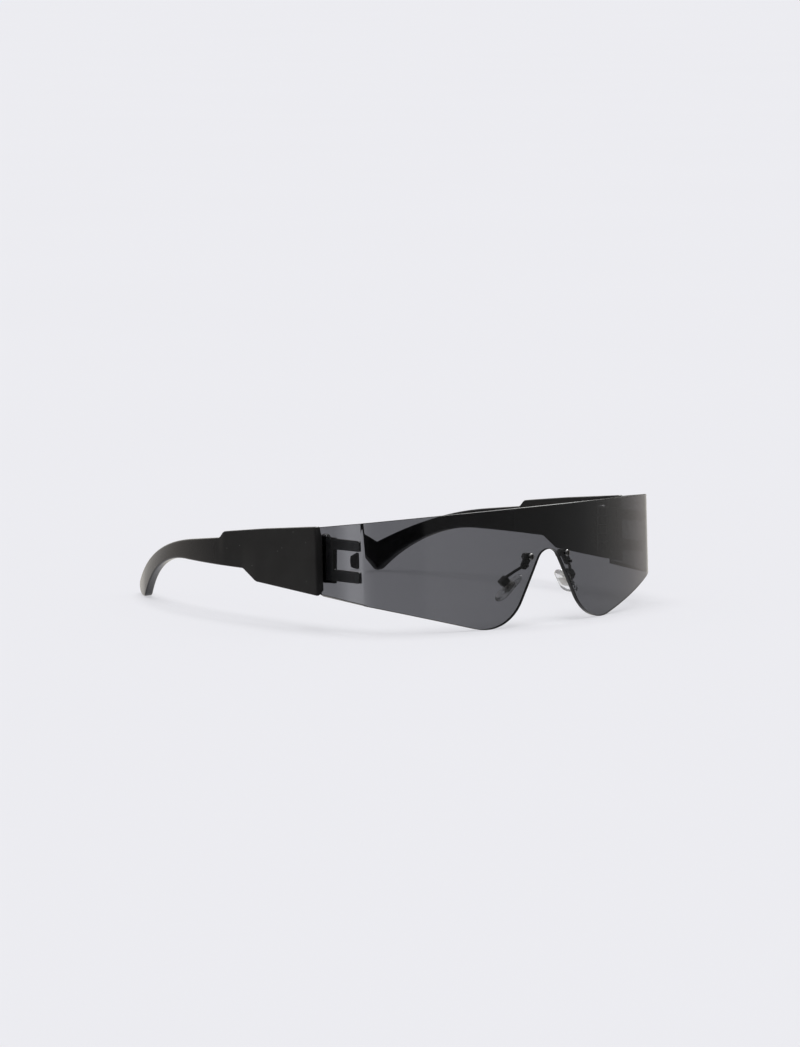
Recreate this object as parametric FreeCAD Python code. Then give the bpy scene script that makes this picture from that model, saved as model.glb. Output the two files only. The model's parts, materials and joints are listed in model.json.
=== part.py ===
import FreeCAD, Part
import math
import os

V = FreeCAD.Vector

# overall width across the temples, and how far the temples stand outside the lens
face_width = 146.8
temple_proud = 3.3

# lens, plan view: front curve, a short easing curve, a tight fold with a sharp crease inside, and a
# side return whose wall is thin beside the fold and full again towards its rear end
lens_radius = 126.0
lens_thick = 2.0
ease_radius = 30.0
ease_turn = 8.0
fold_radius = 2.7
side_heading = 86.3
side_wall = 1.3
thin_run = 5.0
taper_run = 6.0
rear_run = 7.5

# lens, side view: the front leans back; plan sizes are true at this level
lean_angle = 2.3
lean_level = 27.5

# lens, front view: bridge arc, nose slopes, eye bottoms, lower edge rising to a corner and on
bridge_top = 25.7
bridge_radius = 5.73
nose_angle = 61.0
eye_radius = 16.5
lower_angle = 14.7
corner_in = 6.8
side_rise = 0.55

# lens, top edge: a plane falling towards the back
lens_height = 40.9
top_fall = 0.142

# end plates with two prongs, on the inner face of each side return
plate_thick = 1.0
plate_low = 17.3
plate_tall = 14.4
plate_back = 2.3
prong_low = 3.9
prong_high = 3.6
prong_round = 0.7
slot_depth = 11.8
crease_gap = 0.7

# five knuckle hinges, a little taller than the plates
hinge_under = 1.0
hinge_over = 0.2
hinge_back = 0.3
barrel_radius = 1.7
leaf_thick = 0.8
leaf_length = 5.7
turn_gap = 0.4
knuckle_gap = 0.1
pin_radius = 0.7
pin_head_radius = 1.45
pin_head_height = 0.75
pin_slot_wide = 0.5
pin_slot_deep = 0.38
pin_tail = 0.4
pin_hold = 0.02
pin_run = 0.05

# rear leaves, let into the temples
rear_leaf_length = 10.0
rear_leaf_back = 0.17
leaf_margin = 0.4
leaf_sink = 0.4
pocket_gap = 0.02

# temples, side view: panel around the hinge, top step, lower notch, arm, ear bend, tip
temple_thick = 3.2
temple_lap = 2.4
panel_over = 3.85
panel_under = 4.0
panel_fall = 3.0
panel_mid = 27.9
panel_fall_rear = 2.6
panel_rise = 2.0
step_at = 48.1
step_run = 2.26
step_drop = 2.4
notch_at = 31.3
notch_run = 6.6
notch_rise = 3.96
arm_fall = 7.05
ear_at = 71.3
ear_under_radius = 50.0
ear_over_radius = 105.0
tip_long = 9.1
tip_high = 4.8
tip_corner = 0.4
tip_bulge = 0.3
tip_undercut = 2.4
rim_chamfer = 0.35

# temples, plan view: straight panel, then a bow towards the head
bow_start = 46.5
bow_radius = 134.0

# temples, section: the inner edges of the panel are bevelled above and below at its front end
bevel_run = 9.0
bevel_high_wide = 1.2
bevel_high_tall = 3.8
bevel_low_wide = 2.4
bevel_low_tall = 1.6

# pad mounts on the lens: an upper screw with its nut, and a lower peg
mount_x = 9.4
screw_side = 0.85
screw_high = 23.6
screw_radius = 0.7
screw_head_radius = 1.2
screw_head_height = 0.7
screw_head_chamfer = 0.28
screw_tail = 0.5
peg_side = 0.9
peg_high = 20.7
peg_radius = 0.6
peg_proud = 0.4
hole_gap = 0.04
seat_gap = 0.04
bracket_thick = 1.1
bracket_radius = 1.35
nut_flats = 2.5
nut_thick = 1.4

# pad arms: a bent wire from the bracket to the box that holds the pad
wire_radius = 0.5
wire_out = 2.9
wire_back = 1.5
wire_down = 1.8
wire_bend_share = 0.45
box_wide = 3.0
box_tall = 3.2
box_deep = 1.6
box_wall = 0.5
box_floor = 0.6

# nose pads: pivot measured from the mount, directions of the long axis and of the face
pad_out = 5.9
pad_back = 4.55
pad_down = 5.6
pad_long = (0.70, 0.22, -0.68)
pad_face = (-0.68, -0.16, -0.72)
pad_reach = 1.75
pad_thick = 2.0
pad_top_radius = 2.3
pad_low_radius = 2.9
pad_length = 12.4
pad_chamfer = 0.6
insert_thick = 0.5
insert_wide = 3.0
insert_tall = 4.4
insert_gap = 0.01
lug_gap = 0.12
rock_gap = 0.36
pad_screw_radius = 0.4
pad_screw_head_radius = 0.7
pad_screw_head_height = 0.4
pad_screw_tail = 0.3

# how far cutting shapes run past what they cut
spare = 10.0

# values that follow from the ones above
UP = V(0, 0, 1)
heading = math.radians(side_heading)
side_dir = V(math.cos(heading), math.sin(heading), 0)
side_out = V(math.sin(heading), -math.cos(heading), 0)
temple_face = face_width / 2
temple_inside = temple_face - temple_thick
lean = math.tan(math.radians(lean_angle))
stretch = math.sqrt(1 + lean * lean)
RISE = V(0, lean, 1)
hinge_low = plate_low - hinge_under
hinge_high = plate_low + plate_tall + hinge_over
rear_leaf_low = hinge_low + leaf_margin
rear_leaf_high = hinge_high - leaf_margin


def mirrored(shape):
    return shape.mirror(V(0, 0, 0), V(1, 0, 0))


def flip(p):
    return V(-p.x, p.y, p.z)


def same(p):
    return p


def placed(shape, origin, ex, ey, ez):
    m = FreeCAD.Matrix(ex.x, ey.x, ez.x, origin.x,
                       ex.y, ey.y, ez.y, origin.y,
                       ex.z, ey.z, ez.z, origin.z,
                       0, 0, 0, 1)
    out = shape.copy()
    out.Placement = FreeCAD.Placement(m)
    return out


def line(a, b):
    return Part.LineSegment(a, b).toShape()


def arc(a, b, c):
    return Part.Arc(a, b, c).toShape()


def solid_from(edges, push):
    return Part.Face(Part.Wire(Part.__sortEdges__(edges))).extrude(push)


def outward(angle):
    return V(math.sin(angle), -math.cos(angle), 0)


def ease_begins():
    """Angle on the front curve where the easing curve begins, for side returns that end at their width."""
    turn = math.radians(ease_turn)
    rear_x = temple_face - temple_proud
    side_length = thin_run + taper_run + rear_run
    reach = rear_x - side_length * side_dir.x - (fold_radius + lens_thick - side_wall) * side_out.x
    across = lens_radius - ease_radius + (ease_radius - fold_radius) * math.cos(turn)
    ahead = (ease_radius - fold_radius) * math.sin(turn)
    return math.asin(reach / math.hypot(across, ahead)) - math.atan2(ahead, across)


def plan():
    """Outer points of the +X half of the lens in plan from the end of the front curve to the rear end."""
    start = ease_begins()
    eased = start + math.radians(ease_turn)
    ease_centre = V(0, lens_radius, 0) + outward(start) * (lens_radius - ease_radius)
    fold_centre = ease_centre + outward(eased) * (ease_radius - fold_radius)
    fold_end = fold_centre + side_out * fold_radius
    thicken = side_out * (lens_thick - side_wall)
    return [ease_centre + outward(start) * ease_radius,
            ease_centre + outward((start + eased) / 2) * ease_radius,
            ease_centre + outward(eased) * ease_radius,
            fold_centre + outward((eased + heading) / 2) * fold_radius,
            fold_end,
            fold_end + side_dir * thin_run,
            fold_end + side_dir * (thin_run + taper_run) + thicken,
            fold_end + side_dir * (thin_run + taper_run + rear_run) + thicken]


def inner_side(rear_in):
    """Length of the inner side face from its rear end to the crease where it meets the inner front."""
    q = rear_in - V(0, lens_radius, 0)
    along = q.dot(side_dir)
    inner = lens_radius - lens_thick
    return along + math.sqrt(along * along - q.dot(q) + inner * inner)


OUTER = plan()
REAR = OUTER[-1]
REAR_IN = REAR - side_out * lens_thick
SIDE_RUN = inner_side(REAR_IN)
CREASE = REAR_IN - side_dir * SIDE_RUN
lens_depth = REAR.y * stretch
temple_front = lens_depth - temple_lap
HINGE = REAR_IN + side_dir * hinge_back - side_out * (plate_thick + barrel_radius)


def lens_blank():
    """Plan of the lens carried up and down from the lean level, then leaned back about that level."""
    edges = [arc(flip(OUTER[0]), V(0, 0, 0), OUTER[0]), arc(CREASE, V(0, lens_thick, 0), flip(CREASE))]
    for side in (same, flip):
        p = [side(point) for point in OUTER]
        edges += [arc(p[0], p[1], p[2]), arc(p[2], p[3], p[4])]
        edges += [line(a, b) for a, b in zip(p[4:], p[5:] + [side(REAR_IN)])]
        edges.append(line(side(REAR_IN), side(CREASE)))
    body = solid_from(edges, UP * (lens_height + 2 * spare))
    body.translate(UP * -spare)
    body.rotate(UP * lean_level, V(1, 0, 0), -lean_angle)
    return body


def front_outline():
    """Front view of the lens: everything above the bridge, the eye bottoms and the lower edge."""
    a = math.radians(nose_angle)
    b = math.radians(lower_angle)
    slope = V(math.sin(a), 0, math.cos(a))
    bridge = V(0, 0, bridge_top - bridge_radius)
    reach = bridge_radius + eye_radius
    eye = V((reach - (eye_radius - bridge.z) * slope.z) / slope.x, 0, eye_radius)
    bridge_end = bridge + slope * bridge_radius
    eye_start = eye - slope * eye_radius
    eye_end = eye + V(math.sin(b), 0, -math.cos(b)) * eye_radius
    corner_x = temple_face - corner_in
    corner = V(corner_x, 0, eye_end.z + (corner_x - eye_end.x) * math.tan(b))
    far_x = temple_face + spare
    far = V(far_x, 0, corner.z + (far_x - corner_x) * side_rise)
    high = V(far_x, 0, lens_height + far.z)
    edges = [arc(flip(bridge_end), V(0, 0, bridge_top), bridge_end), line(high, flip(high))]
    for side in (same, flip):
        edges.append(line(side(bridge_end), side(eye_start)))
        edges.append(arc(side(eye_start), side(eye - UP * eye_radius), side(eye_end)))
        edges.append(line(side(eye_end), side(corner)))
        edges.append(line(side(corner), side(far)))
        edges.append(line(side(far), side(high)))
    return solid_from(edges, V(0, lens_depth + 2 * spare, 0)).translated(V(0, -spare, 0))


def top_prism():
    """Everything below the falling plane of the lens's top edge."""
    back = lens_depth + spare
    pts = [V(0, -spare, lens_height + spare * top_fall), V(0, back, lens_height - back * top_fall)]
    pts += [V(0, back, -spare), V(0, -spare, -spare)]
    face = Part.Face(Part.makePolygon(pts + [pts[0]]))
    return face.extrude(V(face_width + spare, 0, 0)).translated(V(-temple_face - spare / 2, 0, 0))


def mount_frame():
    """Local frame on the outer lens face: outward along the face, into the lens, up."""
    a = math.asin(mount_x / lens_radius)
    ex = V(math.cos(a), math.sin(a) * stretch, 0).normalize()
    ey = RISE.cross(ex).normalize()
    ez = ex.cross(ey)
    level = V(mount_x, lens_radius * (1 - math.cos(a)) * stretch, lean_level)
    return level - ez * lean_level, ex, ey, ez


def rod(x, z, radius, y0, y1):
    """Round bar along the local depth axis."""
    return Part.makeCylinder(radius, y1 - y0, V(x, y0, z), V(0, 1, 0))


def pin_across(radius, x0, x1):
    """Round bar along the local X axis, through the pivot of a pad."""
    return Part.makeCylinder(radius, x1 - x0, V(x0, 0, 0), V(1, 0, 0))


def shield_lens():
    body = lens_blank().common(front_outline()).common(top_prism())
    holes = rod(-screw_side, screw_high, screw_radius + hole_gap, -lens_thick, 2 * lens_thick)
    holes = holes.fuse(rod(peg_side, peg_high, peg_radius + hole_gap, -lens_thick, 2 * lens_thick))
    left = placed(holes, *mount_frame())
    return body.cut(left).cut(mirrored(left))


def side_box(u0, u1, w0, w1, z0, z1):
    """Box for the side return, by distance forward from its rear end, distance inward, height."""
    return Part.makeBox(u1 - u0, w1 - w0, z1 - z0, V(-u1, w0, z0 - lean_level))


def on_side(shape):
    """Shape moved from its own axes to the inner face of the side return, upright."""
    back = V(side_dir.x, side_dir.y * stretch, 0).normalize()
    inward = RISE.cross(back).normalize()
    return placed(shape, V(REAR_IN.x, REAR_IN.y * stretch, lean_level), back, inward, back.cross(inward))


def end_plate():
    front = SIDE_RUN - crease_gap
    top = plate_low + plate_tall
    plate = side_box(plate_back, front, 0, plate_thick, plate_low, top)
    slot = side_box(front - slot_depth, front + spare, -plate_thick, 2 * plate_thick,
                    plate_low + prong_low, top - prong_high)
    plate = plate.cut(slot)
    corners = [e for e in plate.Edges if is_prong_corner(e, front)]
    return on_side(plate.makeFillet(prong_round, corners))


def is_prong_corner(edge, front):
    """Edges through the thickness at the free ends of the prongs."""
    box = edge.BoundBox
    return box.XMax < 1e-6 - front and box.ZLength < 1e-6


def knuckle_span(i):
    length = (hinge_high - hinge_low - 4 * knuckle_gap) / 5
    low = hinge_low + i * (length + knuckle_gap)
    return low, low + length


def knuckle(i, hole):
    low, high = knuckle_span(i)
    at = V(HINGE.x, HINGE.y, low)
    return Part.makeCylinder(barrel_radius, high - low, at), Part.makeCylinder(hole, high - low, at)


def front_leaf():
    """Leaf on the end plate with knuckles 0, 2 and 4, cut free beside knuckles 1 and 3."""
    body = side_box(-hinge_back, leaf_length, plate_thick, plate_thick + leaf_thick, hinge_low, hinge_high)
    for i in (1, 3):
        low, high = knuckle_span(i)
        free = side_box(-hinge_back - spare, barrel_radius + turn_gap - hinge_back, 0,
                        plate_thick + 2 * leaf_thick, low - knuckle_gap, high + knuckle_gap)
        body = body.cut(free)
    body = on_side(body)
    for i in (0, 2, 4):
        barrel, bore = knuckle(i, pin_radius + pin_hold)
        body = body.fuse(barrel).cut(bore)
    return body.removeSplitter()


def rear_leaf():
    """Leaf let into the temple, with a web to each of the knuckles 1 and 3."""
    y0 = HINGE.y + rear_leaf_back
    sunk = temple_inside + leaf_sink
    body = Part.makeBox(leaf_thick, rear_leaf_length, rear_leaf_high - rear_leaf_low,
                        V(sunk - leaf_thick, y0, rear_leaf_low))
    for i in (1, 3):
        low, high = knuckle_span(i)
        web = Part.makeBox(sunk - leaf_thick / 2 - HINGE.x, barrel_radius - rear_leaf_back, high - low,
                           V(HINGE.x, y0, low))
        barrel, bore = knuckle(i, pin_radius + pin_run)
        body = body.fuse(web).fuse(barrel).cut(bore)
    return body.removeSplitter()


def hinge_screw():
    top = hinge_high + seat_gap
    tail = hinge_low - pin_tail
    shank = Part.makeCylinder(pin_radius, top - tail, V(HINGE.x, HINGE.y, tail))
    head = Part.makeCylinder(pin_head_radius, pin_head_height, V(HINGE.x, HINGE.y, top))
    slot = Part.makeBox(pin_slot_wide, 4 * pin_head_radius, pin_head_height,
                        V(HINGE.x - pin_slot_wide / 2, HINGE.y - 2 * pin_head_radius,
                          top + pin_head_height - pin_slot_deep))
    return shank.fuse(head.cut(slot)).removeSplitter()


def temple_profile():
    """Side view of a temple: panel, top step, lower notch, slim arm, ear bend, rounded tip."""
    fall = math.radians(arm_fall)
    top = hinge_high + panel_over
    low = hinge_low - panel_under

    def at(y, z):
        return V(0, temple_front + y, z)

    def front(z):
        return at(lean * (z - lean_level), z)

    corners = [front(low), front(top), at(panel_mid, top - panel_fall)]
    corners.append(at(step_at, top - panel_fall - panel_fall_rear))
    foot = at(step_at + step_run, top - panel_fall - panel_fall_rear - step_drop)
    corners.append(foot)
    arm_low = low + panel_rise + notch_rise
    under = at(ear_at, arm_low)
    turn = math.acos(1 - (arm_low - tip_corner) / ear_under_radius)

    def under_pt(t):
        return under + V(0, math.sin(t), math.cos(t) - 1) * ear_under_radius

    heel = under_pt(turn)
    tip = V(0, heel.y + tip_long, tip_high)
    along = V(0, math.cos(fall), -math.sin(fall))
    down = V(0, -math.sin(fall), -math.cos(fall))
    drop = (tip - foot).dot(down)
    run = (tip - foot).dot(along) - math.sqrt(drop * (2 * ear_over_radius - drop))
    over = foot + along * run
    centre = over + down * ear_over_radius
    crown = (over + tip) * 0.5 - centre
    sole = V(0, tip.y - tip_undercut, tip_corner)
    flat = V(0, (sole.y + heel.y) / 2, 0)
    notch = at(notch_at, low + panel_rise)
    notch_end = at(notch_at + notch_run, arm_low)
    edges = [line(a, b) for a, b in zip(corners[:-1], corners[1:])]
    edges.append(line(foot, over))
    edges.append(arc(over, centre + crown.normalize() * ear_over_radius, tip))
    edges.append(arc(tip, V(0, tip.y + tip_bulge, (tip.z + sole.z) / 2), sole))
    edges.append(arc(sole, flat, heel))
    edges.append(arc(heel, under_pt(turn / 2), under))
    edges.append(line(under, notch_end))
    edges.append(line(notch_end, notch))
    edges.append(line(notch, corners[0]))
    return Part.Face(Part.Wire(Part.__sortEdges__(edges))), tip.y + tip_bulge


def temple_band(rear):
    """Plan view of a temple: straight panel, then a bow towards the head."""
    y1 = temple_front + bow_start
    run = rear + tip_bulge - y1

    def bowed(radius, x):
        sag = radius - math.sqrt(radius * radius - run * run)
        half = radius - math.sqrt(radius * radius - run * run / 4)
        return V(x, y1, 0), V(x - half, y1 + run / 2, 0), V(x - sag, y1 + run, 0)

    a, b, c = bowed(bow_radius, temple_face)
    d, e, f = bowed(bow_radius - temple_thick, temple_inside)
    front_out = V(temple_face, temple_front - spare, 0)
    front_in = V(temple_inside, temple_front - spare, 0)
    edges = [line(front_out, a), arc(a, b, c), line(c, f)]
    edges += [arc(f, e, d), line(d, front_in), line(front_in, front_out)]
    return solid_from(edges, UP * (hinge_high + panel_over + 2 * spare)).translated(UP * -spare)


def bevel(z, wide, tall, slope):
    """Wedge that bevels the inner edge of the panel at its front end and comes to nothing behind it.

    At the front it takes off wide across and tall up or down; the edge is at height z and has a slope."""
    corners = [V(temple_inside, temple_front, z - tall), V(temple_inside + wide, temple_front, z)]
    corners.append(V(temple_inside, temple_front + bevel_run, z + slope * bevel_run))
    middle = (corners[0] + corners[1] + corners[2]) * (1 / len(corners))
    pts = [middle + (p - middle) * 2 for p in corners]
    face = Part.Face(Part.makePolygon(pts + [pts[0]]))
    return face.extrude(V(-spare, 0, math.copysign(spare, tall)))


def outer_rim(body):
    """Edges of the flat outer side of a temple's panel that begin ahead of its notch."""
    flat = next(f for f in body.Faces if f.BoundBox.XMin > temple_face - rim_chamfer)
    return [e for e in flat.Edges if e.BoundBox.YMin < temple_front + notch_at - rim_chamfer]


def temple():
    face, rear = temple_profile()
    body = face.extrude(V(face_width, 0, 0)).common(temple_band(rear))
    top = hinge_high + panel_over
    low = hinge_low - panel_under
    body = body.cut(bevel(top, bevel_high_wide, bevel_high_tall, -panel_fall / panel_mid))
    body = body.cut(bevel(low, bevel_low_wide, -bevel_low_tall, panel_rise / notch_at))
    body = body.makeChamfer(rim_chamfer, outer_rim(body))
    pocket = Part.makeBox(leaf_sink + spare, rear_leaf_length + 2 * pocket_gap,
                          rear_leaf_high - rear_leaf_low + 2 * pocket_gap,
                          V(temple_inside - spare, HINGE.y + rear_leaf_back - pocket_gap,
                            rear_leaf_low - pocket_gap))
    return body.cut(pocket)


def pad_frame():
    """Pivot of a nose pad and its axes: across, towards the nose, up along its length."""
    sag = lens_radius - math.sqrt(lens_radius * lens_radius - mount_x * mount_x)
    pivot = V(mount_x + pad_out, sag + lens_thick + pad_back, peg_high - pad_down)
    ez = (V(*pad_long) * -1).normalize()
    ey = V(*pad_face)
    ey = (ey - ez * ey.dot(ez)).normalize()
    return pivot, ey.cross(ez), ey, ez


def pad_placed(shape):
    return placed(shape, *pad_frame())


def stadium(x0, z0, x1, z1, radius, y0, y1):
    """Plate with round ends about two points, between two depths."""
    a = rod(x0, z0, radius, y0, y1)
    b = rod(x1, z1, radius, y0, y1)
    along = V(x1 - x0, 0, z1 - z0)
    side = V(along.z, 0, -along.x).normalize() * radius
    p = [V(x0, y0, z0) + side, V(x1, y0, z1) + side, V(x1, y0, z1) - side, V(x0, y0, z0) - side]
    bar = Part.Face(Part.makePolygon(p + [p[0]])).extrude(V(0, y1 - y0, 0))
    return a.fuse(b).fuse(bar).removeSplitter()


def pad_box():
    """Block at the end of a pad arm, and the room in it for the pad's lug, with the cross hole."""
    back = box_deep / 2 + box_floor
    block = Part.makeBox(box_wide, back + box_deep / 2, box_tall, V(-box_wide / 2, -back, -box_tall / 2))
    room = Part.makeBox(box_wide - 2 * box_wall, 2 * box_deep, box_tall - 2 * box_wall,
                        V(-box_wide / 2 + box_wall, -box_deep / 2, -box_tall / 2 + box_wall))
    hole = pin_across(pad_screw_radius + hole_gap, -box_wide, box_wide)
    return pad_placed(block), pad_placed(room.fuse(hole))


def bent_wire(first, elbow, last):
    """Round wire of two straight runs, joined by a tangent arc as large as they leave room for."""
    one = (elbow - first).normalize()
    two = (last - elbow).normalize()
    half = one.getAngle(two) / 2
    cut = wire_bend_share * min((elbow - first).Length, (last - elbow).Length)
    bend = cut / math.tan(half)
    inward = (two - one).normalize()
    middle = elbow + inward * (bend / math.cos(half) - bend)
    a = elbow - one * cut
    b = elbow + two * cut
    spine = Part.Wire([line(first, a), arc(a, middle, b), line(b, last)])
    ring = Part.Wire(Part.makeCircle(wire_radius, first, one))
    return spine.makePipeShell([ring], True, False)


def pad_arm():
    """Bracket against the lens with its peg, the wire, and the box at its end."""
    y0 = lens_thick + seat_gap
    y1 = y0 + bracket_thick
    middle = (y0 + y1) / 2
    base = stadium(-screw_side, screw_high, peg_side, peg_high, bracket_radius, y0, y1)
    base = base.cut(rod(-screw_side, screw_high, screw_radius + hole_gap, 0, y1 + bracket_thick))
    base = base.fuse(rod(peg_side, peg_high, peg_radius, -peg_proud, middle))
    origin, ex, ey, ez = mount_frame()
    base = placed(base, origin, ex, ey, ez)
    pivot, across, to_nose, along = pad_frame()
    first = origin + ex * peg_side + ey * middle + ez * peg_high
    elbow = first + ex * wire_out + ey * wire_back - ez * wire_down
    last = pivot - to_nose * (box_deep / 2 + box_floor / 2)
    block, room = pad_box()
    return base.fuse(bent_wire(first, elbow, last)).fuse(block).cut(room).removeSplitter()


def lens_screw():
    end = lens_thick + 2 * seat_gap + bracket_thick + nut_thick + screw_tail
    top = -seat_gap - screw_head_height
    shank = rod(-screw_side, screw_high, screw_radius, top / 2, end)
    head = rod(-screw_side, screw_high, screw_head_radius, top, -seat_gap)
    rim = [e for e in head.Edges if e.BoundBox.YMax < top / 2]
    head = head.makeChamfer(screw_head_chamfer, rim)
    return placed(shank.fuse(head).removeSplitter(), *mount_frame())


def lens_nut():
    y0 = lens_thick + 2 * seat_gap + bracket_thick
    r = nut_flats / math.sqrt(3)
    pts = []
    for i in range(6):
        t = math.radians(60 * i)
        pts.append(V(-screw_side + r * math.cos(t), y0, screw_high + r * math.sin(t)))
    nut = Part.Face(Part.makePolygon(pts + [pts[0]])).extrude(V(0, nut_thick, 0))
    nut = nut.cut(rod(-screw_side, screw_high, screw_radius + pin_hold, 0, y0 + 2 * nut_thick))
    return placed(nut, *mount_frame())


def pad_outline():
    """Egg-shaped pad: two round ends and their common tangents, as thick as the pad."""
    y0 = pad_reach
    gap = pad_length - pad_top_radius - pad_low_radius
    zt = gap / 2
    zb = -gap / 2
    t = math.asin((pad_low_radius - pad_top_radius) / gap)
    edge = V(math.cos(t), 0, math.sin(t))
    a = V(0, y0, zt) + edge * pad_top_radius
    b = V(0, y0, zb) + edge * pad_low_radius
    edges = [arc(a, V(0, y0, zt + pad_top_radius), flip(a)), arc(b, V(0, y0, zb - pad_low_radius), flip(b))]
    edges += [line(a, b), line(flip(a), flip(b))]
    return solid_from(edges, V(0, pad_thick, 0))


def insert_shape(grow):
    """Metal insert: flat plate inside the pad and a lug standing out into the box."""
    y0 = pad_reach + (pad_thick - insert_thick) / 2
    plate = Part.makeBox(insert_wide + 2 * grow, insert_thick + 2 * grow, insert_tall + 2 * grow,
                         V(-insert_wide / 2 - grow, y0 - grow, -insert_tall / 2 - grow))
    wide = box_wide - 2 * box_wall - 2 * lug_gap
    tall = box_tall - 2 * box_wall - 2 * rock_gap
    stem = Part.makeBox(wide + 2 * grow, y0 + insert_thick / 2, tall + 2 * grow,
                        V(-wide / 2 - grow, 0, -tall / 2 - grow))
    return plate.fuse(stem).fuse(pin_across(tall / 2 + grow, -wide / 2 - grow, wide / 2 + grow))


def pad_insert():
    body = insert_shape(0).removeSplitter()
    return pad_placed(body.cut(pin_across(pad_screw_radius + pin_run, -box_wide, box_wide)))


def nose_pad():
    body = pad_outline()
    rims = [e for e in body.Edges if e.BoundBox.YLength < 1e-6]
    body = body.makeChamfer(pad_chamfer, rims)
    return pad_placed(body.cut(insert_shape(insert_gap)))


def pad_screw():
    half = box_wide / 2
    seat = half + seat_gap
    shank = pin_across(pad_screw_radius, -half - pad_screw_tail, seat + pad_screw_head_height / 2)
    head = pin_across(pad_screw_head_radius, seat, seat + pad_screw_head_height)
    return pad_placed(shank.fuse(head).removeSplitter())


def all_parts():
    parts = {"shield_lens": shield_lens()}
    makers = {"end_plate": end_plate, "front_leaf": front_leaf, "rear_leaf": rear_leaf,
              "hinge_screw": hinge_screw, "temple": temple, "pad_arm": pad_arm,
              "lens_screw": lens_screw, "lens_nut": lens_nut, "pad_screw": pad_screw,
              "nose_pad": nose_pad, "pad_insert": pad_insert}
    for name, make in makers.items():
        shape = make()
        parts["left_" + name] = shape
        parts["right_" + name] = mirrored(shape)
    return parts


def main():
    """Centre the glasses front to back, so that the origin is under the middle, and write each piece."""
    parts = all_parts()
    boxes = [s.optimalBoundingBox(False, False) for s in parts.values()]
    shift = V(0, -(min(b.YMin for b in boxes) + max(b.YMax for b in boxes)) / 2, 0)
    os.makedirs("parts", exist_ok=True)
    for name, shape in parts.items():
        shape.Solids[0].translated(shift).exportStep("parts/" + name + ".step")
    pivot, across, to_nose, along = pad_frame()
    print("shift", shift, "hinge", HINGE + shift, "pivot", pivot + shift, "pad axis", across)


main()
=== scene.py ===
import json
import math

import bmesh
import bpy
import numpy as np
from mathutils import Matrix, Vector


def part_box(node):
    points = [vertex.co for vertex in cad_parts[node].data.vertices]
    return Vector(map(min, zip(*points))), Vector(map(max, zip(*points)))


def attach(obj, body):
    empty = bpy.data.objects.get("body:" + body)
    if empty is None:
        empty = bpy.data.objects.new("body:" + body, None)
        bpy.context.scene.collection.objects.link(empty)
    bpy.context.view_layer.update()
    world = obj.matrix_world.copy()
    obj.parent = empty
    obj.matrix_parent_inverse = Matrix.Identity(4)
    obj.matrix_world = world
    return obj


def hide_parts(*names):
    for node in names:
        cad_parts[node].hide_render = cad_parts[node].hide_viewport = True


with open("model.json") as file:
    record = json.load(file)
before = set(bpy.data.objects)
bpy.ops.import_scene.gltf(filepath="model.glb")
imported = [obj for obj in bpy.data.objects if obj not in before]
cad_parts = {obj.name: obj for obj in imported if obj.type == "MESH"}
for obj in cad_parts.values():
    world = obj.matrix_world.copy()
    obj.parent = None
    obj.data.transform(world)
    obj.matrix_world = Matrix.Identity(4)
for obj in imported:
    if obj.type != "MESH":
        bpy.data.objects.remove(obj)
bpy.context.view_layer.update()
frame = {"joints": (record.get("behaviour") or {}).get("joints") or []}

# shapes are worked out in millimetres and become metres when a mesh is made
MM = 0.001
SAME_PLACE = 1e-8
SHARP = 32.0
LENS_SHARP = 25.0
SIDES = (("left", 1.0), ("right", -1.0))
QUARTER = math.pi / 2


def low(node):
    """Lowest corner of a node's box."""
    return np.array(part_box(node)[0]) / MM


def high(node):
    """Highest corner of a node's box."""
    return np.array(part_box(node)[1]) / MM


def joint_place(name):
    """Place of a joint."""
    return next(np.array(j["pos_m"]) / MM for j in frame["joints"] if j["name"] == name)


# lens: front curve, easing curve, fold and side return in plan, outline from the front, mesh steps
LENS_RADIUS = 126.0
LENS_THICK = 2.0
EASE_RADIUS = 30.0
EASE_TURN = math.radians(8.0)
FOLD_RADIUS = 2.7
SIDE_HEADING = math.radians(86.3)
SIDE_WALL = 1.3
SIDE_SWELL = 0.43
THIN_RUN = 5.0
TAPER_RUN = 6.0
REAR_RUN = 7.5
SIDE_LENGTH = THIN_RUN + TAPER_RUN + REAR_RUN
LEAN = math.tan(math.radians(2.3))
LEAN_LEVEL = 27.5
STRETCH = math.hypot(1.0, LEAN)
LENS_REAR_X = high("shield_lens")[0]
LENS_HEIGHT = 40.9
TOP_FALL = 0.142
BRIDGE_TOP = 25.7
BRIDGE_RADIUS = 5.73
NOSE_ANGLE = math.radians(61.0)
EYE_RADIUS = 16.5
LOWER_ANGLE = math.radians(14.7)
CORNER_IN = 6.8
SIDE_RISE = 0.55
REAR_LIFT = 0.8
EDGE_CHAMFER = 0.16
NOSE_SPAN = 32.0
NOSE_STEPS = 128
BROW_STEPS = 48
EASE_STEPS = 24
FOLD_STEPS = 32
CREASE_STEPS = 40
SIDE_STEPS = (5, 6, 5)
FACE_ROWS = 7

# temples: panel, step, notch, arm, ear bend and tip, by distance from the front end
FACE = high("left_temple")[0]
TEMPLE_THICK = 3.2
HINGE_LOW = low("left_front_leaf")[2]
HINGE_HIGH = high("left_front_leaf")[2]
PANEL_OVER = 3.85
PANEL_UNDER = 4.0
PANEL_TOP = HINGE_HIGH + PANEL_OVER
PANEL_LOW = HINGE_LOW - PANEL_UNDER
TEMPLE_FRONT = low("left_temple")[1] + LEAN * (LEAN_LEVEL - PANEL_LOW)
PANEL_MID = 27.9
PANEL_FALL = 3.0
PANEL_FALL_REAR = 2.6
PANEL_RISE = 2.0
STEP_AT = 48.1
STEP_RUN = 2.26
STEP_DROP = 2.4
NOTCH_AT = 31.3
NOTCH_RUN = 6.6
NOTCH_RISE = 3.96
ARM_FALL = math.radians(7.05)
EAR_AT = 71.3
EAR_UNDER_RADIUS = 50.0
EAR_OVER_RADIUS = 105.0
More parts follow.
